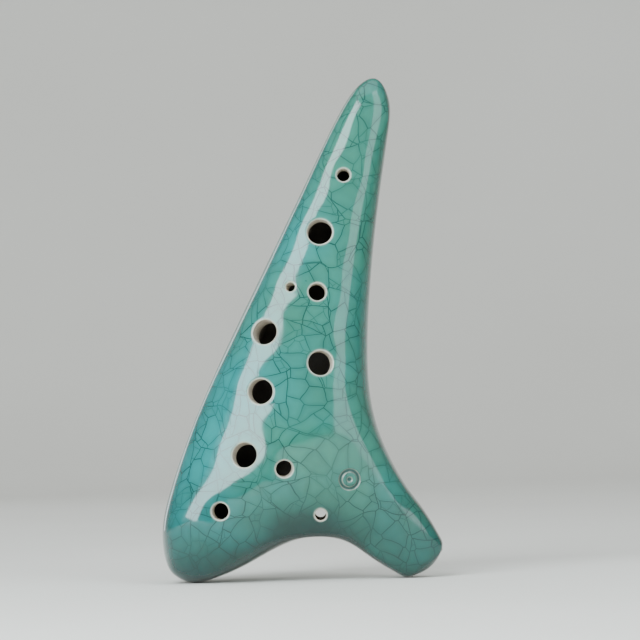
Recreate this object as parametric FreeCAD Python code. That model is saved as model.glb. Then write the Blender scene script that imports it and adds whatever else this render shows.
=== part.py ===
"""A twelve-hole transverse ocarina in soprano C, built of moulded clay pieces luted together with slip.

Frame: millimetres, +Z up, standing on the round end of the body and the tip of the beak. The finger holes
face -Y and the window faces +Y. The origin is the middle of the box's underside and the halves meet at Y = 0.
"""

import FreeCAD, Part
import math
import os

V = FreeCAD.Vector

# ---------------------------------------------------------------- the outer shape, glaze included
# Body sections from the tail to the round end: (left edge x, z), (right edge x, z), half the depth.
TAIL_TIP = V(20.5, 0.0, 121.4)
TAIL_SECTIONS = [
    ((14.2, 117.4), (23.9, 114.4), 4.8),
    ((9.3, 109.2), (22.8, 104.9), 6.5),
    ((2.1, 95.0), (20.2, 88.6), 8.7),
    ((-5.3, 80.5), (18.2, 72.0), 10.8),
    ((-12.7, 66.2), (17.1, 55.4), 12.7),
]
FLANK_SECTION = ((-19.5, 52.2), (18.7, 38.8), 14.0)      # the beak's outer side leaves the body here
CROOK_SECTION = ((-31.2, 24.0), (-1.4, 9.5), 14.4)       # the beak's inner side leaves the body here
ROUND_SECTIONS = [
    ((-34.0, 12.4), (-12.5, 4.7), 12.4),
    ((-32.9, 4.3), (-20.3, 1.4), 7.4),
]
ROUND_TIP = V(-27.4, 0.0, 0.15)

# The section between those two has no right side, because the beak grows out of it.
MIDDLE_SECTION = ((-25.4, 38.0), (28.0, 19.0), 14.8)
BEAK_ROOT = V(1.5, 14.2, 28.5)                           # the middle of its front and of its back

# Beak sections from the body to the mouth end: (crook edge x, z), (flank edge x, z), half the depth.
BEAK_SECTIONS = [
    ((9.4, 9.4), (24.5, 24.4), 9.6),
    ((16.3, 5.1), (29.2, 17.4), 7.4),
    ((22.4, 1.2), (33.2, 10.6), 5.6),
    ((25.6, 0.15), (33.95, 6.6), 4.2),
]
BEAK_TIP = V(30.6, 1.6, 2.3)
BEAK_ANGLES = (55, 20, -20, -55, -90, -125, -160, 160, 125, 90)    # round a beak section from its flank side

GLAZE = 0.3             # thickness of the glaze, so the clay is drawn in by this much
RING = 8                # points round a section of the body
FRONT_POWER = 2.5       # squareness of the finger side; 2 is an ellipse
BACK_POWER = 2.2        # the back is rounder, because it lies on the thumbs
BEAK_POWER = 2.8

# ---------------------------------------------------------------- the air chamber
# The chamber is the body's shape drawn in by a wall of 3.5 to 5 mm, with no beak and blunt at both ends.
CHAMBER_SECTIONS = [
    ((14.3, 108.2), (18.8, 106.6), 2.3),
    ((7.0, 94.4), (16.2, 91.2), 4.4),
    ((-0.8, 79.0), (14.4, 73.6), 6.4),
    ((-8.4, 64.6), (13.2, 56.9), 8.0),
    ((-15.2, 50.6), (12.8, 40.8), 9.1),
    ((-21.2, 36.6), (10.2, 25.4), 9.6),
    ((-26.8, 22.4), (-5.0, 14.5), 9.4),
    ((-29.4, 12.4), (-15.0, 9.3), 7.0),
]
CHAMBER_TAIL = V(17.5, 0.0, 111.2)
CHAMBER_ROUND = V(-25.4, 0.0, 4.8)

# ---------------------------------------------------------------- holes
# Finger holes on the front: x, z, diameter.
FINGER_HOLES = [
    (12.1, 97.9, 3.1),      # right little
    (6.0, 84.3, 6.0),       # right ring
    (-1.4, 71.2, 2.2),      # sub-hole beside the right middle
    (5.1, 69.8, 4.1),       # right middle
    (5.5, 52.7, 5.9),       # right index
    (-7.9, 60.5, 6.0),      # left index
    (-9.2, 46.2, 6.0),      # left middle
    (-13.4, 31.1, 6.0),     # left ring
    (-3.8, 27.5, 4.0),      # sub-hole beside the left ring
    (-19.5, 17.7, 4.0),     # left little
]
THUMB_HOLES = [
    (6.0, 61.2, 7.4),       # right thumb
    (-15.0, 39.5, 7.0),     # left thumb
]
RIM = 0.5               # the softened edge of each hole
DRILL_DEPTH = 8.6       # through the wall and into the chamber
CORD_X, CORD_Z = 4.6, 16.2
CORD_BORE = 2.7         # diameter of the hole for the neck cord
MARK_X, MARK_Z = 11.8, 24.5
MARK_RADIUS = 2.6       # sunk ring on the beak's root
MARK_LINE = 0.8
MARK_DEPTH = 0.5        # pressed into the clay, under the glaze

# ---------------------------------------------------------------- windway, window and labium
# Measured from the middle of the window's edge: u runs down the beak to the mouth, v towards its flank.
EXIT_X, EXIT_Z = 10.4, 26.9
MOUTH_X, MOUTH_Z = 29.7, 4.0
BEAK_LENGTH = math.hypot(MOUTH_X - EXIT_X, MOUTH_Z - EXIT_Z)
U = V(MOUTH_X - EXIT_X, 0, MOUTH_Z - EXIT_Z).normalize()
W = V(-U.z, 0, U.x)
EXIT_Y = 8.6            # height of the windway's middle at the window
MOUTH_Y = 0.3           # and at the mouth end
EXIT_SLOT = (8.0, 1.2)  # width and height of the windway at the window
MOUTH_SLOT = (8.0, 1.8)
PAST_MOUTH = 3.0        # the slot is cut this far past the mouth end
WINDOW = 5.2            # from the windway's exit to the labium's edge
WINDOW_FLOOR = 3.0      # the window is cut down to here, well into the chamber
LABIUM_BACK = 13.2      # where the ramp has run out into the body's back
LABIUM_EDGE_Y = 9.6
LABIUM_RISE = math.tan(math.radians(31))

# ---------------------------------------------------------------- how the clay is divided
SLIP = 0.7              # thickness of a joining layer of slip
JOINT = 7.4             # the beak is luted on this far from the window
WEB_U = (1.6, 11.4)     # the web in the crook, which holds the cord hole
WEB_V = (-17.0, -8.0)
FAR = 200.0             # beyond the ocarina on any side


# ---------------------------------------------------------------- smooth skins over a net of four-sided faces
def rounded(section, degrees, front_power, back_power):
    """A point on a rounded section; 0 degrees is its right edge and 90 degrees its front."""
    left, right, depth = section
    a, b = V(left[0], 0, left[1]), V(right[0], 0, right[1])
    c, s = math.cos(math.radians(degrees)), math.sin(math.radians(degrees))
    power = front_power if s > 0 else back_power
    across = math.copysign(abs(c) ** (2 / power), c)
    out = math.copysign(abs(s) ** (2 / power), s)
    return (a + b) * 0.5 + (b - a) * (0.5 * across) + V(0, -depth * out, 0)


def body_ring(section):
    return [rounded(section, (k + 0.5) * 360 / RING, FRONT_POWER, BACK_POWER) for k in range(RING)]


class Net:
    """Points and four-sided faces, turned into a smooth closed solid that passes through the points."""

    def __init__(self):
        self.points = []
        self.faces = []

    def add(self, points):
        first = len(self.points)
        self.points.extend(points)
        return list(range(first, len(self.points)))

    def tube(self, ring_a, ring_b):
        for k in range(len(ring_a)):
            m = (k + 1) % len(ring_a)
            self.faces.append((ring_a[k], ring_a[m], ring_b[m], ring_b[k]))

    def cap(self, ring, tip):
        """Closes a ring of eight with four faces that meet at one point."""
        middle = self.add([tip])[0]
        for k in range(0, RING, 2):
            self.faces.append((middle, ring[k], ring[k + 1], ring[(k + 2) % RING]))

    def corners(self):
        """Each face's four inner control points, and their average at each point, which lies on the skin."""
        valence = [0] * len(self.points)
        for face in self.faces:
            for i in face:
                valence[i] += 1
        inner = []
        for face in self.faces:
            row = []
            for k in range(4):
                n = valence[face[k]]
                p, q, r, s = (self.points[face[(k + j) % 4]] for j in range(4))
                row.append((p * n + q * 2 + s * 2 + r) * (1.0 / (n + 5)))
            inner.append(row)
        limit = [V() for _ in self.points]
        for face, row in zip(self.faces, inner):
            for i, p in zip(face, row):
                limit[i] = limit[i] + p * (1.0 / valence[i])
        return inner, limit

    def pass_through(self, rounds=40):
        """Moves the points until the skin goes through the places where they first stood."""
        wanted = list(self.points)
        for _ in range(rounds):
            limit = self.corners()[1]
            self.points = [p + (w - q) for p, w, q in zip(self.points, wanted, limit)]

    def solid(self):
        """One bicubic patch for each face, with the tangents of neighbours in line."""
        self.pass_through()
        inner, limit = self.corners()
        beside = {}
        for face, row in zip(self.faces, inner):
            for k in range(4):
                for other in (face[(k + 1) % 4], face[(k - 1) % 4]):
                    beside.setdefault((face[k], other), []).append(row[k])
        edge = {key: (pair[0] + pair[1]) * 0.5 for key, pair in beside.items()}
        skins = []
        for (a, b, c, d), (ia, ib, ic, id_) in zip(self.faces, inner):
            poles = [
                [limit[a], edge[a, b], edge[b, a], limit[b]],
                [edge[a, d], ia, ib, edge[b, c]],
                [edge[d, a], id_, ic, edge[c, b]],
                [limit[d], edge[d, c], edge[c, d], limit[c]],
            ]
            skin = Part.BSplineSurface()
            skin.buildFromPolesMultsKnots(poles, [4, 4], [4, 4], [0, 1], [0, 1], False, False, 3, 3)
            skins.append(skin.toShape())
        shell = Part.makeShell(skins)
        shell.sewShape()
        body = Part.makeSolid(Part.Shell(shell.Faces))
        if body.Volume < 0:
            body.reverse()
        return body


def drawn_in(section, by):
    """A section made smaller by the same amount all round."""
    left, right, depth = section
    a, b = V(left[0], 0, left[1]), V(right[0], 0, right[1])
    step = (b - a).normalize() * by
    return ((a + step).x, (a + step).z), ((b - step).x, (b - step).z), depth - by


def outer_skin(by=0.0):
    """The body with the beak growing from its side, drawn in by a thickness."""
    net = Net()
    upper = [net.add(body_ring(drawn_in(s, by))) for s in TAIL_SECTIONS + [FLANK_SECTION]]
    middle = body_ring(drawn_in(MIDDLE_SECTION, by))
    middle[1] = V(BEAK_ROOT.x, by - BEAK_ROOT.y, BEAK_ROOT.z)
    middle[6] = V(BEAK_ROOT.x, BEAK_ROOT.y - by, BEAK_ROOT.z)
    kept = net.add(middle[1:7])
    lower = [net.add(body_ring(drawn_in(s, by))) for s in [CROOK_SECTION] + ROUND_SECTIONS]
    for ring_a, ring_b in zip(upper[:-1] + lower[:-1], upper[1:] + lower[1:]):
        net.tube(ring_a, ring_b)
    flank, crook = upper[-1], lower[0]
    for k in range(1, 6):
        net.faces.append((flank[k], flank[k + 1], kept[k], kept[k - 1]))
        net.faces.append((kept[k - 1], kept[k], crook[k + 1], crook[k]))
    net.cap(upper[0], TAIL_TIP - V(0, 0, by))
    net.cap(lower[-1], ROUND_TIP + V(0, 0, by))
    ring = [flank[1], flank[0], flank[7], flank[6], kept[5], crook[6], crook[7], crook[0], crook[1], kept[0]]
    for section in BEAK_SECTIONS:
        smaller = drawn_in(section, by)
        further = net.add([rounded(smaller, angle, BEAK_POWER, BEAK_POWER) for angle in BEAK_ANGLES])
        net.tube(ring, further)
        ring = further
    tip = BEAK_TIP - U * by
    front, back = net.add([V(tip.x, -tip.y, tip.z), tip])
    net.faces += [
        (ring[0], ring[1], front, ring[9]),
        (ring[1], ring[2], back, front),
        (ring[2], ring[3], ring[4], back),
        (ring[9], front, ring[7], ring[8]),
        (front, back, ring[6], ring[7]),
        (back, ring[4], ring[5], ring[6]),
    ]
    return net.solid()


def air_chamber():
    net = Net()
    rings = [net.add(body_ring(s)) for s in CHAMBER_SECTIONS]
    for ring_a, ring_b in zip(rings, rings[1:]):
        net.tube(ring_a, ring_b)
    net.cap(rings[0], CHAMBER_TAIL)
    net.cap(rings[-1], CHAMBER_ROUND)
    return net.solid()


# ---------------------------------------------------------------- places on the skin and on the beak
def on_beak(u, v, y):
    return V(EXIT_X, 0, EXIT_Z) + U * u + W * v + V(0, y, 0)


def beak_block(u_range, v_range, y_range):
    """A block square to the beak."""
    (u0, u1), (v0, v1) = u_range, v_range
    base = [on_beak(u, v, y_range[0]) for u, v in ((u0, v0), (u1, v0), (u1, v1), (u0, v1))]
    return Part.Face(Part.makePolygon(base + base[:1])).extrude(V(0, y_range[1] - y_range[0], 0))


def beak_prism(profile, half_width):
    """A profile in (u, y) carried across the beak."""
    base = [on_beak(u, -half_width, y) for u, y in profile]
    return Part.Face(Part.makePolygon(base + base[:1])).extrude(W * (2 * half_width))


def half_space(y_from, y_to):
    return Part.makeBox(2 * FAR, y_to - y_from, 2 * FAR, V(-FAR, y_from, -FAR))


def surface_at(skin, x, z, side):
    """The point of the skin at x and z, and its outward normal; side is -1 for the front."""
    ray = Part.makeLine(V(x, 0, z), V(x, side * FAR, z))
    best = None
    for face in skin.Faces:
        if not face.BoundBox.intersect(ray.BoundBox):
            continue
        for vertex in ray.section(face).Vertexes:
            if best is None or vertex.Y * side > best[0].y * side:
                best = (vertex.Point, face)
    point, face = best
    normal = face.normalAt(*face.Surface.parameter(point))
    if normal.y * side < 0:
        normal = normal * -1
    return point, normal


def drilled(skin, x, z, diameter, side):
    """The clay that a drill takes out square to the skin, with the edge softened."""
    point, normal = surface_at(skin, x, z, side)
    radius = diameter / 2
    drill = Part.makeCylinder(radius, DRILL_DEPTH + RIM, point + normal * RIM, normal * -1)
    rim = Part.makeCone(radius + 2 * RIM, radius, 2 * RIM, point + normal * RIM, normal * -1)
    return drill.fuse(rim)


def windway():
    """A flat slot that tapers from the mouth to the window."""
    def section(u):
        share = u / BEAK_LENGTH
        width, height = ((1 - share) * e + share * m for e, m in zip(EXIT_SLOT, MOUTH_SLOT))
        middle = (1 - share) * EXIT_Y + share * MOUTH_Y
        signs = ((-1, -1), (1, -1), (1, 1), (-1, 1), (-1, -1))
        return Part.makePolygon([on_beak(u, width / 2 * i, middle + height / 2 * j) for i, j in signs])
    return Part.makeLoft([section(0), section(BEAK_LENGTH + PAST_MOUTH)], True, True)


def roof_y(u):
    """Height of the windway's roof."""
    share = u / BEAK_LENGTH
    return (1 - share) * (EXIT_Y + EXIT_SLOT[1] / 2) + share * (MOUTH_Y + MOUTH_SLOT[1] / 2)


def window_pocket():
    return beak_block((-LABIUM_BACK, 0), (-EXIT_SLOT[0] / 2, EXIT_SLOT[0] / 2), (WINDOW_FLOOR, FAR))


def labium():
    """The wedge that splits the air: flat beneath, a ramp above, sharp towards the windway."""
    ramp = [
        (-WINDOW, LABIUM_EDGE_Y),
        (-LABIUM_BACK, LABIUM_EDGE_Y),
        (-LABIUM_BACK, LABIUM_EDGE_Y + LABIUM_RISE * (LABIUM_BACK - WINDOW)),
    ]
    return beak_prism(ramp, EXIT_SLOT[0] / 2)


def maker_mark(skin):
    """A small plain ring with a dot in it, pressed in at the root of the beak."""
    point, normal = surface_at(skin, MARK_X, MARK_Z, -1)
    top, depth = point + normal * MARK_DEPTH, 2 * MARK_DEPTH
    ring = Part.makeCylinder(MARK_RADIUS, depth, top, normal * -1)
    ring = ring.cut(Part.makeCylinder(MARK_RADIUS - MARK_LINE, depth, top, normal * -1))
    return ring.fuse(Part.makeCylinder(MARK_LINE, depth, top, normal * -1))


def openings(skin):
    """Every way through the clay or the glaze."""
    finger = [drilled(skin, *hole, -1) for hole in FINGER_HOLES]
    thumb = [drilled(skin, *hole, 1) for hole in THUMB_HOLES]
    cord = Part.makeCylinder(CORD_BORE / 2, 2 * FAR, V(CORD_X, -FAR, CORD_Z), V(0, 1, 0))
    return [windway(), window_pocket(), cord] + finger + thumb


def clay_pieces(skin):
    """Every piece of clay or slip, by name."""
    through = (-FAR, FAR)
    web = beak_block(WEB_U, WEB_V, through)
    joint = beak_block((JOINT, JOINT + SLIP), (WEB_V[1], FAR), through)
    beside_web = beak_block((JOINT + SLIP, FAR), (WEB_V[1], FAR), through)
    past_web = beak_block((WEB_U[1], FAR), (WEB_V[0], WEB_V[1]), through)
    beak = beside_web.fuse(past_web)
    near, far = roof_y(0), roof_y(FAR)
    roof = beak_prism([(0, near), (FAR, far), (FAR, FAR), (0, FAR)], FAR)
    bed = beak_prism([(0, near - SLIP), (FAR, far - SLIP), (FAR, far), (0, near)], FAR)
    body = skin.cut([web, joint, beak])
    beak = skin.common(beak)
    bed = beak.common(bed)
    pieces = {
        "front_shell": body.common(half_space(-FAR, -SLIP / 2)),
        "back_shell": body.common(half_space(SLIP / 2, FAR)),
        "body_seam_slip": body.common(half_space(-SLIP / 2, SLIP / 2)),
        "beak_floor": beak.cut([roof, bed]),
        "beak_roof": beak.common(roof),
        "beak_seam_slip_crook": bed.common(beak_block((0, FAR), (-FAR, 0), through)),
        "beak_seam_slip_flank": bed.common(beak_block((0, FAR), (0, FAR), through)),
        "beak_joint_slip": skin.common(joint),
        "cord_web": skin.common(web),
    }
    air = openings(skin) + [air_chamber(), maker_mark(skin)]
    pieces = {name: piece.cut(air) for name, piece in pieces.items()}
    pieces["labium"] = labium().common(skin)
    return pieces


def glaze_coat(skin, clay):
    """The glaze, fused over all the clay as one skin of glass."""
    return skin.cut([clay] + openings(skin))


if __name__ == "__main__":
    os.makedirs("parts", exist_ok=True)
    clay_skin = outer_skin(GLAZE)
    glaze_skin = outer_skin()
    pieces = clay_pieces(clay_skin)
    pieces["glaze_coat"] = glaze_coat(glaze_skin, clay_skin)
    for name, piece in pieces.items():
        print(name, "solids", len(piece.Solids), "volume", round(piece.Volume, 1))
        piece.exportStep("parts/" + name + ".step")
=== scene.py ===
import bmesh
import bpy
import math
import numpy as np
from mathutils import Matrix, Vector
from mathutils.bvhtree import BVHTree


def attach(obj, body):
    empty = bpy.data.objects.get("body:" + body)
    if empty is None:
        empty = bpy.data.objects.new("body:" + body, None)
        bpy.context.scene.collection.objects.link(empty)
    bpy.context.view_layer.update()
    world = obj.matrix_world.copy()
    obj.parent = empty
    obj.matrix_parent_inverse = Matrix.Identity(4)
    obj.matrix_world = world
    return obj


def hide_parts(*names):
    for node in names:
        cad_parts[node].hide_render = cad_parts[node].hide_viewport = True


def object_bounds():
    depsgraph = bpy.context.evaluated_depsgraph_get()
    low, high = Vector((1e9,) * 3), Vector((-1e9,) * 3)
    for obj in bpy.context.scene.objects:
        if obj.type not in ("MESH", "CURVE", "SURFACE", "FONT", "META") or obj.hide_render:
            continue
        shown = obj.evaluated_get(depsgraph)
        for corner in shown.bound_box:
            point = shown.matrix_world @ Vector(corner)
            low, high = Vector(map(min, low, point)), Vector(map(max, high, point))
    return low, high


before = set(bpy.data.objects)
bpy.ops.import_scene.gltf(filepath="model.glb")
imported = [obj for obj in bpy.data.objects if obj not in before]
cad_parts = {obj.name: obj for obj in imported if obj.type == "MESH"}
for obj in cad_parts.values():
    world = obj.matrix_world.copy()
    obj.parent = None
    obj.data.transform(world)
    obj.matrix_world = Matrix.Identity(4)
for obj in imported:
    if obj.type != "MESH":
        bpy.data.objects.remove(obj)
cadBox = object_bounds()
mm = 0.001
print("frame loaded:", len(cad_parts), "clay and glaze nodes")


# ---- small helpers

def toLinear(hexColour):
    parts = [int(hexColour[k:k + 2], 16) / 255 for k in (1, 3, 5)]
    return [c / 12.92 if c <= 0.04045 else ((c + 0.055) / 1.055) ** 2.4 for c in parts] + [1.0]


def addNode(tree, kind, links=None, **settings):
    node = tree.nodes.new(kind)
    for name, value in settings.items():
        setattr(node, name, value)
    for name, value in (links or {}).items():
        if isinstance(value, bpy.types.NodeSocket):
            tree.links.new(value, node.inputs[name])
        else:
            node.inputs[name].default_value = value
    return node


def linkObject(name, mesh):
    thing = bpy.data.objects.new(name, mesh)
    bpy.context.scene.collection.objects.link(thing)
    return thing


def unit(v):
    return v / np.linalg.norm(v, axis=-1, keepdims=True)


# ---- the glaze's outer skin, a net of four-sided faces through the same sections as the clay under it

skinShape = {
    "tailTip": (20.5, 0.0, 121.4),
    "tail": [                                   # left edge x, z; right edge x, z; half the depth
        ((14.2, 117.4), (23.9, 114.4), 4.8),
        ((9.3, 109.2), (22.8, 104.9), 6.5),
        ((2.1, 95.0), (20.2, 88.6), 8.7),
        ((-5.3, 80.5), (18.2, 72.0), 10.8),
        ((-12.7, 66.2), (17.1, 55.4), 12.7),
    ],
    "flank": ((-19.5, 52.2), (18.7, 38.8), 14.0),
    "middle": ((-25.4, 38.0), (28.0, 19.0), 14.8),
    "beakRoot": (1.5, 14.2, 28.5),
    "crook": ((-31.2, 24.0), (-1.4, 9.5), 14.4),
    "roundEnd": [
        ((-34.0, 12.4), (-12.5, 4.7), 12.4),
        ((-32.9, 4.3), (-20.3, 1.4), 7.4),
    ],
    "roundTip": (-27.4, 0.0, 0.15),
    "beak": [
        ((9.4, 9.4), (24.5, 24.4), 9.6),
        ((16.3, 5.1), (29.2, 17.4), 7.4),
        ((22.4, 1.2), (33.2, 10.6), 5.6),
        ((25.6, 0.15), (33.95, 6.6), 4.2),
    ],
    "beakTip": (30.6, 1.6, 2.3),
    "beakAngles": (55, 20, -20, -55, -90, -125, -160, 160, 125, 90),
    "squareness": {"front": 2.5, "back": 2.2, "beak": 2.8},
    "ringPoints": 8,
    "levels": 4,                                # of subdivision on the finished skin
    "guideLevels": 6,                           # on the fine copy that rims are laid on
    "rounds": 40,                               # of moving the net until the skin passes through the sections
}


def onSection(section, degrees, frontPower, backPower):
    left, right, depth = section
    a, b = np.array([left[0], 0, left[1]]), np.array([right[0], 0, right[1]])
    c, s = math.cos(math.radians(degrees)), math.sin(math.radians(degrees))
    power = frontPower if s > 0 else backPower
    across = math.copysign(abs(c) ** (2 / power), c)
    out = math.copysign(abs(s) ** (2 / power), s)
    return (a + b) / 2 + (b - a) / 2 * across + np.array([0, -depth * out, 0])


def buildCage(shape):
    points, faces = [], []
    square, count = shape["squareness"], shape["ringPoints"]

    def add(some):
        points.extend(np.array(p, float) for p in some)
        return list(range(len(points) - len(some), len(points)))

    def ringOf(section):
        return [onSection(section, (k + 0.5) * 360 / count, square["front"], square["back"]) for k in range(count)]

    def tube(a, b):
        faces.extend((a[k], a[(k + 1) % len(a)], b[(k + 1) % len(a)], b[k]) for k in range(len(a)))

    def cap(ring, tip):
        middle = add([tip])[0]
        faces.extend((middle, ring[k], ring[k + 1], ring[(k + 2) % count]) for k in range(0, count, 2))

    upper = [add(ringOf(s)) for s in shape["tail"] + [shape["flank"]]]
    middle = ringOf(shape["middle"])
    root = np.array(shape["beakRoot"])
    middle[1], middle[6] = root * (1, -1, 1), root
    kept = add(middle[1:7])
    lower = [add(ringOf(s)) for s in [shape["crook"]] + shape["roundEnd"]]
    for a, b in zip(upper[:-1] + lower[:-1], upper[1:] + lower[1:]):
        tube(a, b)
    flank, crook = upper[-1], lower[0]
    for k in range(1, 6):
        faces.append((flank[k], flank[k + 1], kept[k], kept[k - 1]))
        faces.append((kept[k - 1], kept[k], crook[k + 1], crook[k]))
    cap(upper[0], shape["tailTip"])
    cap(lower[-1], shape["roundTip"])
    ring = [flank[1], flank[0], flank[7], flank[6], kept[5], crook[6], crook[7], crook[0], crook[1], kept[0]]
    for section in shape["beak"]:
        further = add([onSection(section, a, square["beak"], square["beak"]) for a in shape["beakAngles"]])
        tube(ring, further)
        ring = further
    tip = np.array(shape["beakTip"])
    front, back = add([tip * (1, -1, 1), tip])
    faces += [
        (ring[0], ring[1], front, ring[9]),
        (ring[1], ring[2], back, front),
        (ring[2], ring[3], ring[4], back),
        (ring[9], front, ring[7], ring[8]),
        (front, back, ring[6], ring[7]),
        (back, ring[4], ring[5], ring[6]),
    ]
    return np.array(points), faces


def limitOf(points, faces):
    # where the smooth skin passes by each point of the net
    corner = np.array(faces)
    valence = np.bincount(corner.ravel(), minlength=len(points))
    limit = np.zeros_like(points)
    for k in range(4):
        i, j, far, l = (corner[:, (k + step) % 4] for step in range(4))
        n = valence[i][:, None]
        inner = (points[i] * n + 2 * points[j] + 2 * points[l] + points[far]) / (n + 5)
        np.add.at(limit, i, inner / n)
    return limit


def makeSkin(name, points, faces, levels):
    mesh = bpy.data.meshes.new(name)
    mesh.from_pydata([list(p * mm) for p in points], [], faces)
    facing = bmesh.new()
    facing.from_mesh(mesh)
    bmesh.ops.recalc_face_normals(facing, faces=facing.faces)
    facing.to_mesh(mesh)
    facing.free()
    thing = linkObject(name, mesh)
    smooth = thing.modifiers.new("smooth", "SUBSURF")
    smooth.levels = smooth.render_levels = levels
    view = bpy.context.evaluated_depsgraph_get()
    finished = bpy.data.meshes.new_from_object(thing.evaluated_get(view))
    bpy.data.objects.remove(thing)
    return finished


def makeSkins(shape):
    # the finished skin, and a finer one that rims are laid on
    wanted, faces = buildCage(shape)
    points = wanted.copy()
    for _ in range(shape["rounds"]):
        points += wanted - limitOf(points, faces)
    return [makeSkin("skin", points, faces, levels) for levels in (shape["levels"], shape["guideLevels"])]


skinMesh, guideMesh = makeSkins(skinShape)
guide = BVHTree.FromPolygons([v.co / mm for v in guideMesh.vertices], [tuple(p.vertices) for p in guideMesh.polygons])
bpy.data.meshes.remove(guideMesh)
print("skin smoothed:", len(skinMesh.polygons), "faces")


# ---- the openings in the glaze: finger holes, thumb holes, cord hole, window, windway mouth, and the sunk mark

openingPlan = {
    "finger": [                        # x, z, diameter
        (12.1, 97.9, 3.1),
        (6.0, 84.3, 6.0),
        (-1.4, 71.2, 2.2),
        (5.1, 69.8, 4.1),
        (5.5, 52.7, 5.9),
        (-7.9, 60.5, 6.0),
        (-9.2, 46.2, 6.0),
        (-13.4, 31.1, 6.0),
        (-3.8, 27.5, 4.0),
        (-19.5, 17.7, 4.0),
    ],
    "thumb": [(6.0, 61.2, 7.4), (-15.0, 39.5, 7.0)],
    "cord": (4.6, 16.2, 2.7),
    "mark": (11.8, 24.5, 5.2),         # a ring with a dot in it
    "exit": (10.4, 26.9),              # middle of the window's edge on the beak side
    "mouth": (29.7, 4.0),              # middle of the windway's mouth
    "window": (13.2, 8.0),             # along and across the beak, from the windway's exit to the end of the ramp
    "slot": (8.0, 1.8, 0.15),          # the windway's mouth: width, height, and how far behind the seam
    "corner": 0.35,                    # corner radius of window and mouth
    "lip": 0.45,                       # radius of the rounded rim
    "turnIn": 0.45,                    # how far the glaze runs down inside
    "spacing": 0.34,                   # of points along a rim
    "gap": 0.15,                       # between the laid rings and the skin's own points
    "refine": 1.6,                     # how much further out the skin is made finer
    "depth": 7.0,                      # above or below an opening, what is still part of it
    "groove": 0.8, "dot": 0.8,         # the mark's line and the radius of its dot
    "thickness": 0.24,                 # of the glaze
}
ringShares = (1.0, 0.72, 0.47, 0.24, 0.0)              # of the reach, from the outside to the lip
lipAngles = (18, 36, 54, 72, 90)                       # round the lip
beakAlong = unit(np.array([openingPlan["mouth"][0] - openingPlan["exit"][0], 0,
                           openingPlan["mouth"][1] - openingPlan["exit"][1]]))
beakAcross = np.array([-beakAlong[2], 0, beakAlong[0]])


def onSkin(place, outward):
    # where a line along outward meets the skin, and the skin's normal there
    start = Vector(place) + Vector(outward) * 40
    hit, normal = guide.ray_cast(start, -Vector(outward))[:2]
    return np.array(hit), np.array(normal)


def flatOpening(name, middle, outward, across, core, corner, reach, blind=False):
    # core is half the size of the straight part, and corner the radius round it; a round hole has no core
    outward = unit(np.array(outward, float))
    across = np.array(across, float)
    across = unit(across - outward * across.dot(outward))
    return {"name": name, "middle": np.array(middle), "out": outward, "across": across,
            "along": np.cross(outward, across), "core": np.array(core, float), "corner": corner,
            "reach": reach, "blind": blind}


def listOpenings(plan):
    found = []
    for name, side in (("finger", -1), ("thumb", 1)):
        for x, z, diameter in plan[name]:
            middle, normal = onSkin((x, 0, z), (0, side, 0))
            reach = 1.5 if diameter > 5 else 0.8
            found.append(flatOpening(name, middle, normal, (1, 0, 0), (0, 0), diameter / 2, reach))
    x, z, diameter = plan["cord"]
    for side in (-1, 1):
        middle = onSkin((x, 0, z), (0, side, 0))[0]
        found.append(flatOpening("cord", middle, (0, side, 0), (1, 0, 0), (0, 0), diameter / 2, 0.9))
    x, z, diameter = plan["mark"]
    middle, normal = onSkin((x, 0, z), (0, -1, 0))
    found.append(flatOpening("mark", middle, normal, (1, 0, 0), (0, 0), diameter / 2, 0.9, blind=True))
    exitX, exitZ = plan["exit"]
    length, width = plan["window"]
    middle = onSkin(np.array([exitX, 0, exitZ]) - beakAlong * length / 2, (0, 1, 0))[0]
    core = (length / 2 - plan["corner"], width / 2 - plan["corner"])
    found.append(flatOpening("window", middle, (0, 1, 0), beakAlong, core, plan["corner"], 1.2))
    width, height, behind = plan["slot"]
    mouthX, mouthZ = plan["mouth"]
    middle = onSkin((mouthX, behind, mouthZ), beakAlong)[0]
    core = (width / 2 - plan["corner"], height / 2 - plan["corner"])
    found.append(flatOpening("mouth", middle, beakAlong, beakAcross, core, plan["corner"], 0.5))
    return found


def awayFrom(opening, places):
    # distance from the opening's edge measured square to its axis, and height along the axis
    local = places - opening["middle"]
    flat = np.stack([local @ opening["across"], local @ opening["along"]], axis=-1)
    past = np.abs(flat) - opening["core"]
    outside = np.linalg.norm(np.maximum(past, 0), axis=-1)
    inside = np.minimum(past.max(axis=-1), 0)
    return outside + inside - opening["corner"], local @ opening["out"]


def outlineOf(opening, count):
    # points round the core and the direction outwards from each, spread by length along the edge
    core, corner = opening["core"], opening["corner"] + 0.6
    base, heading = [], []
    quarter = corner * math.pi / 2
    stretches = []
    corners = ((1, 1), (-1, 1), (-1, -1), (1, -1))
    for k, (i, j) in enumerate(corners):
        middle = np.array([i * core[0], j * core[1]])
        following = corners[(k + 1) % 4]
        end = np.array([following[0] * core[0], following[1] * core[1]])
        stretches.append(("turn", quarter, middle, middle, k * 90))
        stretches.append(("run", np.linalg.norm(end - middle), middle, end, (k + 1) * 90))
    whole = sum(s[1] for s in stretches)
    for step in np.arange(count) / count * whole:
        for kind, length, start, end, angle in stretches:
            if step <= length:
                break
            step -= length
        share = min(step / length, 1) if length else 0
        degrees = angle + 90 * share if kind == "turn" else angle
        base.append(start + (end - start) * share)
        heading.append((math.cos(math.radians(degrees)), math.sin(math.radians(degrees))))
    return np.array(base), np.array(heading)


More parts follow.
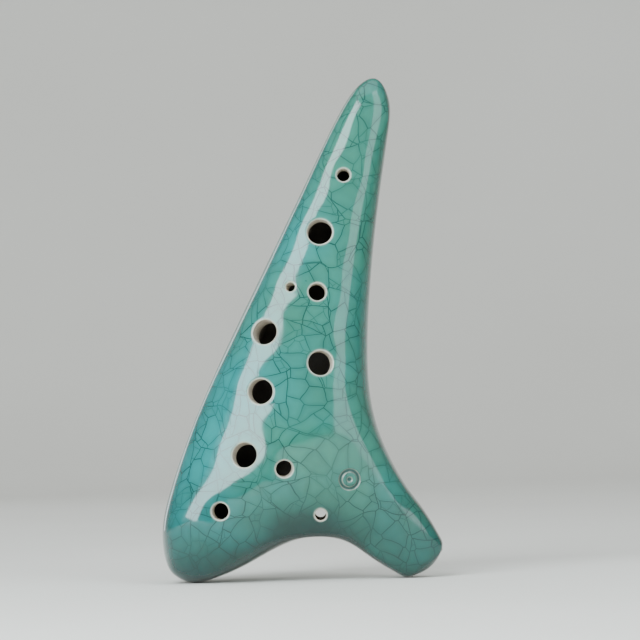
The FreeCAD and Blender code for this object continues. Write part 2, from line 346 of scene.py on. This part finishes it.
def layRings(opening, plan):
    # rings of points from the skin round the opening, over the lip and a little way in
    edge = 2 * math.pi * (opening["corner"] + plan["lip"]) + 4 * opening["core"].sum()
    count = max(24, int(round(edge / plan["spacing"])))
    base, heading = outlineOf(opening, count)
    flatAxes = np.stack([opening["across"], opening["along"]])
    out = opening["out"]
    rings = []

    def ringOnSkin(offset):
        flat = base + heading * (opening["corner"] + offset)
        return np.array([onSkin(p, out)[0] for p in opening["middle"] + flat @ flatAxes])

    for share in ringShares:
        rings.append(ringOnSkin(plan["lip"] + opening["reach"] * share))
    if opening["blind"]:
        radius = opening["corner"]
        for offset in np.linspace(plan["lip"], -radius, 26)[1:-1]:
            rings.append(ringOnSkin(offset))
        return rings
    inwards = heading @ flatAxes
    top = rings[-1]
    for degrees in lipAngles:
        turn = math.radians(degrees)
        rings.append(top - inwards * plan["lip"] * math.sin(turn) - out * plan["lip"] * (1 - math.cos(turn)))
    rings.append(rings[-1] - out * plan["turnIn"])
    return rings


def cutOpenings(mesh, openings, plan):
    work = bmesh.new()
    work.from_mesh(mesh)
    work.transform(Matrix.Scale(1 / mm, 4))

    def nearTo(opening, limit):
        verts = list(work.verts)
        flat, height = awayFrom(opening, np.array([v.co for v in verts]))
        return {verts[k] for k in np.flatnonzero((flat < limit) & (np.abs(height) < plan["depth"]))}

    for opening in openings:
        clearance = plan["lip"] + opening["reach"] + plan["gap"]
        around = nearTo(opening, clearance + plan["refine"])
        edges = {e for v in around for e in v.link_edges if e.other_vert(v) in around}
        made = bmesh.ops.subdivide_edges(work, edges=list(edges), cuts=1, use_grid_fill=True)
        for v in made["geom_inner"]:
            if isinstance(v, bmesh.types.BMVert):
                v.co = guide.find_nearest(v.co)[0]
        inside = nearTo(opening, clearance)
        edge = {v for f in {f for v in inside for f in v.link_faces} for v in f.verts} - inside
        inside = list(inside)
        bmesh.ops.delete(work, geom=inside, context="VERTS")
        ragged = [e for e in {e for v in edge for e in v.link_edges} if e.is_boundary]
        rows = [[work.verts.new(p) for p in ring] for ring in layRings(opening, plan)]
        for outer, inner in zip(rows, rows[1:]):
            for k in range(len(outer)):
                after = (k + 1) % len(outer)
                work.faces.new((outer[k], outer[after], inner[after], inner[k]))
        if opening["blind"]:
            tip = work.verts.new(opening["middle"])
            for k in range(len(rows[-1])):
                work.faces.new((rows[-1][k], rows[-1][(k + 1) % len(rows[-1])], tip))
        rim = [work.edges.get((rows[0][k - 1], rows[0][k])) for k in range(len(rows[0]))]
        bmesh.ops.bridge_loops(work, edges=ragged + rim)
    bmesh.ops.recalc_face_normals(work, faces=work.faces)
    work.transform(Matrix.Scale(mm, 4))
    work.to_mesh(mesh)
    work.free()


def measureGlaze(mesh, openings, plan):
    # what the glaze does at each point: how far to a rim, how thin, how bare, which way is out, and its painted shade
    count = len(mesh.vertices)
    places, normals = np.empty(count * 3), np.empty(count * 3)
    mesh.vertices.foreach_get("co", places)
    mesh.vertices.foreach_get("normal", normals)
    places, normals = places.reshape(-1, 3) / mm, normals.reshape(-1, 3)
    rim = np.full(count, 50.0)
    outward = normals.copy()
    thin, bare, sunk = np.zeros(count), np.zeros(count), np.zeros(count)
    for opening in openings:
        flat, height = awayFrom(opening, places)
        here = np.abs(height) < plan["depth"]
        if opening["blind"]:
            radius = opening["corner"] + flat
            here &= radius < opening["corner"] + 1
            line, dot = plan["groove"], plan["dot"]
            groove = np.clip(1.5 - np.abs(radius - opening["corner"] + line / 2) / (line * 0.5), 0, 1)
            middle = np.clip(1.8 - radius / (dot * 0.6), 0, 1)
            cut = np.maximum(groove, middle)
            cut = cut * cut * (3 - 2 * cut)
            sunk[here] = cut[here]
            thin[here] = (4 * cut * (1 - cut))[here] * 0.3
            outward[here] = opening["out"]
            continue
        closer = here & (flat < rim)
        rim[closer] = flat[closer]
        onRim = here & (flat < plan["lip"] + 0.02)
        outward[onRim] = opening["out"]
        bare[onRim & (flat < 0.03)] = 1
    thin = np.maximum(thin, np.clip((0.48 - np.abs(rim)) / 0.42, 0, 1))
    # painted shade: darker towards the bottom, on faces that look down, and in the crook by the cord hole, where shade
    # falls
    low = np.clip((36 - places[:, 2]) / 34, 0, 1)
    under = np.clip(-normals[:, 2] * 1.2 - 0.25, 0, 1)
    crook = np.exp(-((places[:, 0] - 0.5) / 10) ** 4 - ((places[:, 2] - 11.5) / 6.5) ** 4)
    paintedShadeUnder = 1 - (1 - 0.6 * low * low * (3 - 2 * low)) * (1 - 0.85 * under) * (1 - 0.85 * crook)
    for name, values in (("rimDistance", rim), ("thin", thin), ("bare", bare), ("sunk", sunk), ("paintedShadeUnder", paintedShadeUnder)):
        mesh.attributes.new(name, "FLOAT", "POINT").data.foreach_set("value", values)
    mesh.attributes.new("outward", "FLOAT_VECTOR", "POINT").data.foreach_set("vector", outward.ravel())
    unrollGlaze(mesh, places, normals)


# half the depth of the body by height, and of the beak by the way along it, for unrolling
unrollPlan = {
    "body": ((0, 12, 25, 60, 90, 115, 121), (8, 12, 14.5, 12.8, 8.7, 5, 3)),
    "beak": ((-10, 0, 30), (14.5, 11.5, 4.5)),
}


def unrollGlaze(mesh, places, normals):
    # two maps in mm, one seen from the front and one from behind, with the sides laid out flat
    exit = np.array([openingPlan["exit"][0], 0, openingPlan["exit"][1]])
    along = (places - exit) @ beakAlong
    radius = np.minimum(np.interp(places[:, 2], *unrollPlan["body"]), np.interp(along, *unrollPlan["beak"]))
    plan = normals[:, [0, 2]]
    plan = plan / np.maximum(np.linalg.norm(plan, axis=1, keepdims=True), 1e-6)
    corner = np.empty(len(mesh.loops), int)
    mesh.loops.foreach_get("vertex_index", corner)
    for name, side in (("glazeFront", -1), ("glazeBack", 1)):
        turn = np.arccos(np.clip(normals[:, 1] * side, -1, 1))
        flat = places[:, [0, 2]] + plan * (radius * (turn - np.sin(turn)))[:, None]
        if side > 0:
            flat = flat * (-1, 1) + (150, 40)
        mesh.uv_layers.new(name=name).data.foreach_set("uv", flat[corner].ravel())


# ---- glazeFlow: how the melted glaze lies, worked out along the surface by Geometry Nodes

glazeFlowPlan = {
    "dishDepth": 0.1 * mm,       # the clay is pressed in a little round each hole
    "dishReach": 2.4,            # in mm, as rimDistance is
    "sunkDepth": 0.34 * mm,      # of the mark's lines
    "waveHeight": 0.08 * mm,     # slow unevenness of a hand-smoothed surface
    "waveLength": 15 * mm,
    "seed": 7.0,
}


def makeGlazeFlow(plan, material):
    tree = bpy.data.node_groups.new("glazeFlow", "GeometryNodeTree")
    tree.interface.new_socket("Geometry", in_out="INPUT", socket_type="NodeSocketGeometry")
    for name, value in plan.items():
        tree.interface.new_socket(name, in_out="INPUT", socket_type="NodeSocketFloat").default_value = value
    tree.interface.new_socket("Geometry", in_out="OUTPUT", socket_type="NodeSocketGeometry")
    given = addNode(tree, "NodeGroupInput").outputs

    def calc(operation, *values):
        node = addNode(tree, "ShaderNodeMath", dict(enumerate(values)), operation=operation)
        return node.outputs[0]

    def named(name, kind="FLOAT"):
        return addNode(tree, "GeometryNodeInputNamedAttribute", {"Name": name}, data_type=kind).outputs[0]

    rim = calc("MAXIMUM", named("rimDistance"), 0.0)
    share = calc("DIVIDE", rim, given["dishReach"])
    dish = calc("MULTIPLY", calc("EXPONENT", calc("MULTIPLY", calc("MULTIPLY", share, share), -1.0)), given["dishDepth"])
    press = calc("MULTIPLY", named("sunk"), given["sunkDepth"])
    place = addNode(tree, "GeometryNodeInputPosition").outputs[0]
    scaled = addNode(tree, "ShaderNodeVectorMath", {0: place, "Scale": calc("DIVIDE", 1.0, given["waveLength"])},
                     operation="SCALE").outputs[0]
    noise = addNode(tree, "ShaderNodeTexNoise", {"Vector": scaled, "W": given["seed"], "Scale": 1.0, "Detail": 1.0},
                    noise_dimensions="4D").outputs[0]
    wave = calc("MULTIPLY", calc("SUBTRACT", noise, 1.0), given["waveHeight"])    # never above the outer skin
    lift = calc("SUBTRACT", calc("SUBTRACT", wave, dish), press)
    offset = addNode(tree, "ShaderNodeVectorMath", {0: named("outward", "FLOAT_VECTOR"), "Scale": lift},
                     operation="SCALE").outputs[0]
    moved = addNode(tree, "GeometryNodeSetPosition", {"Geometry": given["Geometry"], "Offset": offset})
    real = addNode(tree, "GeometryNodeRealizeInstances", {"Geometry": moved.outputs[0]})
    painted = addNode(tree, "GeometryNodeSetMaterial", {"Geometry": real.outputs[0], "Material": material})
    addNode(tree, "NodeGroupOutput", {"Geometry": painted.outputs[0]})
    return tree


def finishWith(thing, tree=None, plan=None, thickness=0.0):
    # runs a tree with its inputs, then gives the sheet its thickness, and leaves a plain mesh
    if tree:
        flow = thing.modifiers.new(tree.name, "NODES")
        flow.node_group = tree
        for item in tree.interface.items_tree:
            if item.in_out == "INPUT" and item.name in plan:
                flow[item.identifier] = plan[item.name]
    if thickness:
        wall = thing.modifiers.new("wall", "SOLIDIFY")
        wall.thickness, wall.offset = thickness, -1
    view = bpy.context.evaluated_depsgraph_get()
    mesh = bpy.data.meshes.new_from_object(thing.evaluated_get(view), preserve_all_data_layers=True, depsgraph=view)
    thing.modifiers.clear()
    old, thing.data = thing.data, mesh
    bpy.data.meshes.remove(old)
    mesh.name = thing.name


# ---- materials

# crackle-glazed earthenware: a thick soft glass, poured over and fired; glossy, blue-green, with painted light that
# makes the left side bluer and painted shade that darkens it low down, underneath and in the crook; with a net of
# fine dark cracks that ink was rubbed into, and thin and cream-coloured over every edge
glazeLook = {
    "blue": "#1d7f7d",
    "green": "#347968",
    # deep also gives the painted shade low down, underneath and in the crook
    "deep": "#03211f",           # along the cracks and where the glaze is thick
    "crack": "#0d3632",
    "cream": "#d8dac9",
    "bisque": "#b3a998",
    "largeCell": 8.8,            # mm, between the long cracks that formed first
    "middleCell": 4.1,
    "smallCell": 2.8,
    "crackWidth": 0.11,          # mm, half the width of the widest
    "wander": 1.6,               # mm, how far the cracks stray from straight
    "dish": 0.11, "wave": 0.13, "crackDepth": 0.003,     # mm, unevenness that only shows in what is reflected
}


def makeCracks(look):
    # cracks in a flat map in mm: each generation stops at the one before it
    tree = bpy.data.node_groups.new("cracks", "ShaderNodeTree")
    tree.interface.new_socket("Place", in_out="INPUT", socket_type="NodeSocketVector")
    for name in ("Line", "Halo", "Tint"):
        tree.interface.new_socket(name, in_out="OUTPUT", socket_type="NodeSocketFloat")
    place = addNode(tree, "NodeGroupInput").outputs[0]

    def calc(operation, *values, **settings):
        return addNode(tree, "ShaderNodeMath", dict(enumerate(values)), operation=operation, **settings).outputs[0]

    def vector(operation, a, b):
        kind = "Scale" if operation == "SCALE" else 1
        return addNode(tree, "ShaderNodeVectorMath", {0: a, kind: b}, operation=operation).outputs[0]

    def strayed(where, size, amount):
        noise = addNode(tree, "ShaderNodeTexNoise", {"Vector": where, "Scale": 1 / size, "Detail": 1.0},
                        noise_dimensions="2D").outputs["Color"]
        return vector("ADD", where, vector("SCALE", vector("SUBTRACT", noise, (0.5, 0.5, 0.5)), amount))

    def turned(where, cell):
        # each cell of the last generation gets its own direction and its own stretch of pattern
        angle = calc("MULTIPLY", addNode(tree, "ShaderNodeSeparateColor", {"Color": cell}).outputs[2], math.pi)
        spun = addNode(tree, "ShaderNodeVectorRotate", {"Vector": where, "Angle": angle}, rotation_type="Z_AXIS")
        return vector("ADD", spun.outputs[0], vector("SCALE", cell, 90.0))

    def generation(where, size, randomness):
        settings = {"Vector": where, "Scale": 1 / size, "Randomness": randomness}
        edge = addNode(tree, "ShaderNodeTexVoronoi", settings, voronoi_dimensions="2D", feature="DISTANCE_TO_EDGE")
        cell = addNode(tree, "ShaderNodeTexVoronoi", settings, voronoi_dimensions="2D", feature="F1")
        return calc("MULTIPLY", edge.outputs["Distance"], size), cell.outputs["Color"]

    def ramp(value, low, high, start, end):
        node = addNode(tree, "ShaderNodeMapRange", {"Value": value, "From Min": low, "From Max": high,
                       "To Min": start, "To Max": end}, interpolation_type="SMOOTHSTEP")
        return node.outputs[0]

    bent = strayed(strayed(place, 14.0, 3 * look["wander"]), 3.5, look["wander"] * 0.3)
    largeEdge, largeCell = generation(bent, look["largeCell"], 0.75)
    shifted = turned(bent, largeCell)
    longer = addNode(tree, "ShaderNodeVectorMath", {0: shifted, 1: (1.0, 0.75, 1.0)}, operation="MULTIPLY").outputs[0]
    middleEdge, middleCell = generation(longer, look["middleCell"], 0.42)
    smallEdge = generation(turned(shifted, middleCell), look["smallCell"], 0.5)[0]
    pick = addNode(tree, "ShaderNodeSeparateColor", {"Color": middleCell}).outputs[0]
    someOnly = ramp(pick, 0.72, 0.74, 4.0, 0.0)                   # only some cells cracked a third time
    smallEdge = calc("ADD", smallEdge, someOnly)
    width = look["crackWidth"]
    lines = [ramp(edge, width * share * 0.35, width * share * 1.3, strength, 0.0) for edge, share, strength in (
        (largeEdge, 1.0, 1.0), (middleEdge, 0.9, 0.9), (smallEdge, 0.7, 0.6))]
    line = calc("MAXIMUM", lines[0], calc("MAXIMUM", lines[1], lines[2]))
    fade = addNode(tree, "ShaderNodeTexNoise", {"Vector": place, "Scale": 0.09, "Detail": 2.0},
                   noise_dimensions="2D").outputs[0]
    line = calc("MULTIPLY", line, ramp(fade, 0.3, 0.6, 0.55, 1.0))
    nearest = calc("MINIMUM", largeEdge, calc("MINIMUM", middleEdge, smallEdge))
    halo = ramp(nearest, 0.0, 1.3, 1.0, 0.0)
    tint = addNode(tree, "ShaderNodeSeparateColor", {"Color": middleCell}).outputs[1]
    addNode(tree, "NodeGroupOutput", {"Line": line, "Halo": halo, "Tint": tint})
    return tree


def newMaterial(name):
    material = bpy.data.materials.new(name)
    material.use_nodes = True
    tree = material.node_tree
    tree.nodes.remove(tree.nodes["Principled BSDF"])
    return material, tree


def makeGlaze(look):
    material, tree = newMaterial("crackleGlazePouredAndFired")

    def calc(operation, *values, **settings):
        return addNode(tree, "ShaderNodeMath", dict(enumerate(values)), operation=operation, **settings).outputs[0]

    def named(name):
        return addNode(tree, "ShaderNodeAttribute", attribute_name=name).outputs["Fac"]

    def blend(share, a, b, kind="MIX"):
        node = addNode(tree, "ShaderNodeMix", {0: share, 6: a, 7: b}, data_type="RGBA", blend_type=kind)
        return node.outputs[2]

    cracks = makeCracks(look)
    sides = []
    for uvMap in ("glazeFront", "glazeBack"):
        place = addNode(tree, "ShaderNodeUVMap", uv_map=uvMap).outputs[0]
        sides.append(addNode(tree, "ShaderNodeGroup", {"Place": place}, node_tree=cracks).outputs)
    where = addNode(tree, "ShaderNodeTexCoord").outputs["Object"]
    inMillimetres = addNode(tree, "ShaderNodeVectorMath", {0: where, "Scale": 1 / mm}, operation="SCALE").outputs[0]
    slow = addNode(tree, "ShaderNodeTexNoise", {"Vector": inMillimetres, "Scale": 1 / 24, "Detail": 2.0}).outputs[0]
    cloud = addNode(tree, "ShaderNodeTexNoise", {"Vector": inMillimetres, "Scale": 1 / 5, "Detail": 3.0}).outputs[0]
    facing = addNode(tree, "ShaderNodeSeparateXYZ", {0: addNode(tree, "ShaderNodeAttribute",
                     attribute_name="outward").outputs["Vector"]}).outputs[1]
    border = calc("GREATER_THAN", calc("ADD", facing, calc("MULTIPLY", calc("SUBTRACT", cloud, 0.5), 0.5)), 0.0)
    line, halo, tint = (addNode(tree, "ShaderNodeMix", {0: border, 2: a, 3: b}).outputs[0]
                        for a, b in zip(sides[0], sides[1]))
    thin, bare, sunk = named("thin"), named("bare"), named("sunk")
    # painted light: the left side is made bluer, as where the bluish key light falls, and the right side greener, as
    # where it is in shade; patchy adds tone that differs at random
    paintedLightLeft = addNode(tree, "ShaderNodeSeparateXYZ", {0: inMillimetres}).outputs[0]
    paintedLightLeft = addNode(tree, "ShaderNodeMapRange", {"Value": paintedLightLeft, "From Min": 14.0, "From Max": -32.0}).outputs[0]
    patchy = addNode(tree, "ShaderNodeMapRange", {"Value": slow, "From Min": 0.35, "From Max": 0.65, "To Min": -0.35,
                     "To Max": 0.45}).outputs[0]
    colour = blend(calc("ADD", paintedLightLeft, patchy, use_clamp=True), toLinear(look["green"]), toLinear(look["blue"]))
    colour = blend(calc("MULTIPLY", calc("SUBTRACT", cloud, 0.45), 0.35, use_clamp=True), colour, toLinear(look["deep"]))
    colour = blend(calc("MULTIPLY", halo, 0.14), colour, toLinear(look["deep"]))
    facing = addNode(tree, "ShaderNodeLayerWeight", {"Blend": 0.4}).outputs["Facing"]      # a longer way through
    colour = blend(calc("MULTIPLY", calc("POWER", facing, 1.6), 0.75), colour, toLinear(look["deep"]))
    # painted shade: low down, underneath and in the crook the colour goes towards deep
    colour = blend(calc("MULTIPLY", named("paintedShadeUnder"), 0.95), colour, toLinear(look["deep"]))
    bright = addNode(tree, "ShaderNodeMapRange", {"Value": tint, "To Min": 0.93, "To Max": 1.06}).outputs[0]
    colour = addNode(tree, "ShaderNodeVectorMath", {0: colour, "Scale": bright}, operation="SCALE").outputs[0]
    colour = blend(calc("MULTIPLY", line, 0.95), colour, toLinear(look["crack"]))
    colour = blend(calc("MULTIPLY", sunk, 0.85), colour, toLinear(look["crack"]))
    broken = addNode(tree, "ShaderNodeMapRange", {"Value": cloud, "From Min": 0.3, "From Max": 0.6, "To Min": 0.6})
    colour = blend(calc("MULTIPLY", thin, broken.outputs[0]), colour, toLinear(look["cream"]))
    colour = blend(bare, colour, toLinear(look["bisque"]))
    near = calc("DIVIDE", calc("MAXIMUM", named("rimDistance"), 0.0), 2.6)
    dish = calc("MULTIPLY", calc("EXPONENT", calc("MULTIPLY", calc("MULTIPLY", near, near), -1.0)), -look["dish"])
    wave = addNode(tree, "ShaderNodeTexNoise", {"Vector": inMillimetres, "Scale": 1 / 11, "Detail": 1.0}).outputs[0]
    height = calc("ADD", dish, calc("MULTIPLY", wave, look["wave"]))
    height = calc("SUBTRACT", height, calc("MULTIPLY", line, look["crackDepth"]))
    bump = addNode(tree, "ShaderNodeBump", {"Strength": 1.0, "Distance": mm, "Height": height})
    rough = calc("ADD", 0.09, calc("MULTIPLY", bare, 0.6))
    surface = addNode(tree, "ShaderNodeBsdfPrincipled", {"Base Color": colour, "Roughness": rough, "IOR": 1.52,
                      "Normal": bump.outputs[0], "Subsurface Weight": 0.12, "Subsurface Scale": 0.6 * mm,
                      "Coat Weight": 0.2, "Coat IOR": 1.52, "Coat Roughness": 0.04,
                      "Coat Normal": bump.outputs[0]})
    tree.links.new(surface.outputs[0], tree.nodes["Material Output"].inputs[0])
    return material


# unglazed earthenware: pressed in a mould and fired to biscuit; buff, matte, a little gritty
# inside: the colour of the painted shade on the chamber's walls
bisqueLook = {"pale": "#d3cabb", "dark": "#aea493", "inside": "#2b2520", "grit": 0.35, "cloud": 4.0}


def makeBisque(name, look, paintedChamberShade=0.0):
    # painted shade: the walls that face front or back, which are the chamber's, are darkened as the hollow's shade;
    # bores keep the clay's own colour
    material, tree = newMaterial(name)
    where = addNode(tree, "ShaderNodeTexCoord").outputs["Object"]
    inMillimetres = addNode(tree, "ShaderNodeVectorMath", {0: where, "Scale": 1 / mm}, operation="SCALE").outputs[0]
    grit = addNode(tree, "ShaderNodeTexNoise", {"Vector": inMillimetres, "Scale": 1 / look["grit"]}).outputs[0]
    cloud = addNode(tree, "ShaderNodeTexNoise", {"Vector": inMillimetres, "Scale": 1 / look["cloud"]}).outputs[0]
    share = addNode(tree, "ShaderNodeMath", {0: grit, 1: cloud}, operation="MULTIPLY").outputs[0]
    spread = addNode(tree, "ShaderNodeMapRange", {"Value": share, "From Min": 0.12, "From Max": 0.4}).outputs[0]
    colour = addNode(tree, "ShaderNodeMix", {0: spread, 6: toLinear(look["dark"]), 7: toLinear(look["pale"])},
                     data_type="RGBA").outputs[2]
    if paintedChamberShade:
        facing = addNode(tree, "ShaderNodeTexCoord").outputs["Normal"]
        facing = addNode(tree, "ShaderNodeSeparateXYZ", {0: facing}).outputs[1]
        facing = addNode(tree, "ShaderNodeMath", {0: facing}, operation="ABSOLUTE").outputs[0]
        inside = addNode(tree, "ShaderNodeMapRange", {"Value": facing, "From Min": 0.45, "From Max": 0.75,
                         "To Max": paintedChamberShade}).outputs[0]
        colour = addNode(tree, "ShaderNodeMix", {0: inside, 6: colour, 7: toLinear(look["inside"])},
                         data_type="RGBA").outputs[2]
    bump = addNode(tree, "ShaderNodeBump", {"Strength": 0.4, "Distance": 0.06 * mm, "Height": grit})
    surface = addNode(tree, "ShaderNodeBsdfPrincipled", {"Base Color": colour, "Roughness": 0.85, "IOR": 1.5,
                      "Normal": bump.outputs[0]})
    tree.links.new(surface.outputs[0], tree.nodes["Material Output"].inputs[0])
    return material


glaze = makeGlaze(glazeLook)
bisque = makeBisque("bisqueClayMoulded", bisqueLook)
# the two shells' chamber walls get painted shade
chamberShadeBisque = makeBisque("bisqueClayChamberShade", bisqueLook, paintedChamberShade=0.9)
for name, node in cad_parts.items():
    node.data.materials.clear()
    node.data.materials.append(chamberShadeBisque if name in ("front_shell", "back_shell") else bisque)

openings = listOpenings(openingPlan)
cutOpenings(skinMesh, openings, openingPlan)
measureGlaze(skinMesh, openings, openingPlan)
glazeCoat = linkObject("glazeCoat", skinMesh)
print("openings cut:", len(openings), "in", len(skinMesh.polygons), "faces")
finishWith(glazeCoat, makeGlazeFlow(glazeFlowPlan, glaze), glazeFlowPlan, openingPlan["thickness"] * mm)
glazeCoat.data.shade_smooth()
print("glaze coat finished:", len(glazeCoat.data.polygons), "faces")
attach(glazeCoat, "root")
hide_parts("glaze_coat")

# ---- the stage, the light and the camera

stagePlan = {
    "pale": "#f0ece5", "shade": "#e6e1d9", "away": "#55524e",
    "halfWidth": 2.5, "front": -2.2, "bend": 0.7, "radius": 0.5, "top": 2.2,      # metres
}


def makePaper(plan):
    # seamless paper hung behind and rolled out under: matte, off-white, faintly mottled
    material, tree = newMaterial("backdropPaperRolled")
    where = addNode(tree, "ShaderNodeTexCoord").outputs["Object"]
    mottle = addNode(tree, "ShaderNodeTexNoise", {"Vector": where, "Scale": 6.0, "Detail": 4.0}).outputs[0]
    colour = addNode(tree, "ShaderNodeMix", {0: mottle, 6: toLinear(plan["pale"]), 7: toLinear(plan["shade"])},
                     data_type="RGBA").outputs[2]
    forward = addNode(tree, "ShaderNodeSeparateXYZ", {0: where}).outputs[1]
    dim = addNode(tree, "ShaderNodeMapRange", {"Value": forward, "From Min": -0.25, "From Max": -0.8},
                  interpolation_type="SMOOTHSTEP").outputs[0]
    colour = addNode(tree, "ShaderNodeMix", {0: dim, 6: colour, 7: toLinear(plan["away"])}, data_type="RGBA").outputs[2]
    surface = addNode(tree, "ShaderNodeBsdfPrincipled", {"Base Color": colour, "Roughness": 0.95})
    tree.links.new(surface.outputs[0], tree.nodes["Material Output"].inputs[0])
    return material


def makeStage(plan):
    low = cadBox[0][2]
    profile = [(plan["front"], low), (plan["bend"], low)]
    for degrees in range(6, 91, 6):
        turn = math.radians(degrees)
        profile.append((plan["bend"] + plan["radius"] * math.sin(turn), low + plan["radius"] * (1 - math.cos(turn))))
    profile.append((profile[-1][0], plan["top"]))
    points = [(side * plan["halfWidth"], y, z) for y, z in profile for side in (-1, 1)]
    faces = [(2 * k, 2 * k + 1, 2 * k + 3, 2 * k + 2) for k in range(len(profile) - 1)]
    mesh = bpy.data.meshes.new("backdrop")
    mesh.from_pydata(points, [], faces)
    mesh.materials.append(makePaper(plan))
    backdrop = linkObject("backdrop", mesh)
    mesh.shade_smooth()


makeStage(stagePlan)

cameraPlan = {
    "lens": 255.0,
    "elevation": -0.3,         # degrees; the lens is at half the object's height
    "roll": -1.42,             # degrees, the object's right side up
    "viewWidth": 155.4,        # mm across the frame at the object
    "lookAt": (5.6, 0.0, 63.05),
}


def aim(thing, place, target, roll=0.0):
    direction = Vector(target) - Vector(place)
    turn = direction.to_track_quat("-Z", "Y").to_matrix().to_4x4()
    thing.matrix_world = Matrix.Translation(place) @ turn @ Matrix.Rotation(math.radians(roll), 4, "Z")


def makeCamera(plan):
    data = bpy.data.cameras.new("camera")
    data.lens = plan["lens"]
    camera = linkObject("camera", data)
    distance = plan["viewWidth"] * mm * plan["lens"] / data.sensor_width
    target = Vector(plan["lookAt"]) * mm
    tilt = math.radians(plan["elevation"])
    place = target + Vector((0, -math.cos(tilt), math.sin(tilt))) * distance
    aim(camera, place, target, plan["roll"])
    data.clip_start = 0.01
    bpy.context.scene.camera = camera


makeCamera(cameraPlan)

# soft boxes: how far round from the camera, how high, how far off, size, and brightness of the cloth
lightPlan = [
    {"name": "keyBox", "round": -32, "height": 320, "far": 620, "size": (330, 680), "glow": 11.0, "lean": -26},
    {"name": "keyHalo", "round": -36, "height": 320, "far": 640, "size": (450, 800), "glow": 1.0, "lean": -26},
    {"name": "sideBox", "round": 38, "height": 260, "far": 620, "size": (260, 1100), "glow": 3.2, "lean": 0},
    {"name": "rimStrip", "round": -150, "height": 160, "far": 620, "size": (90, 620), "glow": 2.4, "lean": 0},
    {"name": "topBox", "round": 0, "height": 1300, "far": 200, "size": (1600, 1200), "glow": 1.3, "lean": 0},
]
airPlan = {"above": "#c6c9ca", "below": "#2c2d2d", "strength": 0.75}


def makeLights(plans, air):
    for plan in plans:
        width, height = (side * mm for side in plan["size"])
        turn = math.radians(plan["round"])
        place = Vector((plan["far"] * math.sin(turn), -plan["far"] * math.cos(turn), plan["height"])) * mm
        data = bpy.data.lights.new(plan["name"], "AREA")
        data.shape = "RECTANGLE"
        data.size, data.size_y = width, height
        data.energy = plan["glow"] * math.pi * width * height
        data.color = (0.84, 0.95, 1.0)
        lamp = linkObject(plan["name"], data)
        aim(lamp, place, Vector((0, 0, 62)) * mm, plan["lean"])
    world = bpy.data.worlds.new("studioAir")
    bpy.context.scene.world = world
    world.use_nodes = True
    tree = world.node_tree
    upward = addNode(tree, "ShaderNodeSeparateXYZ", {0: addNode(tree, "ShaderNodeNewGeometry").outputs["Incoming"]}).outputs[2]
    share = addNode(tree, "ShaderNodeMapRange", {"Value": upward, "From Min": 0.03, "From Max": -0.03}).outputs[0]
    colour = addNode(tree, "ShaderNodeMix", {0: share, 6: toLinear(air["below"]), 7: toLinear(air["above"])},
                     data_type="RGBA").outputs[2]
    background = tree.nodes["Background"]
    tree.links.new(colour, background.inputs["Color"])
    background.inputs["Strength"].default_value = air["strength"]


makeLights(lightPlan, airPlan)
print("stage, lights and camera set")
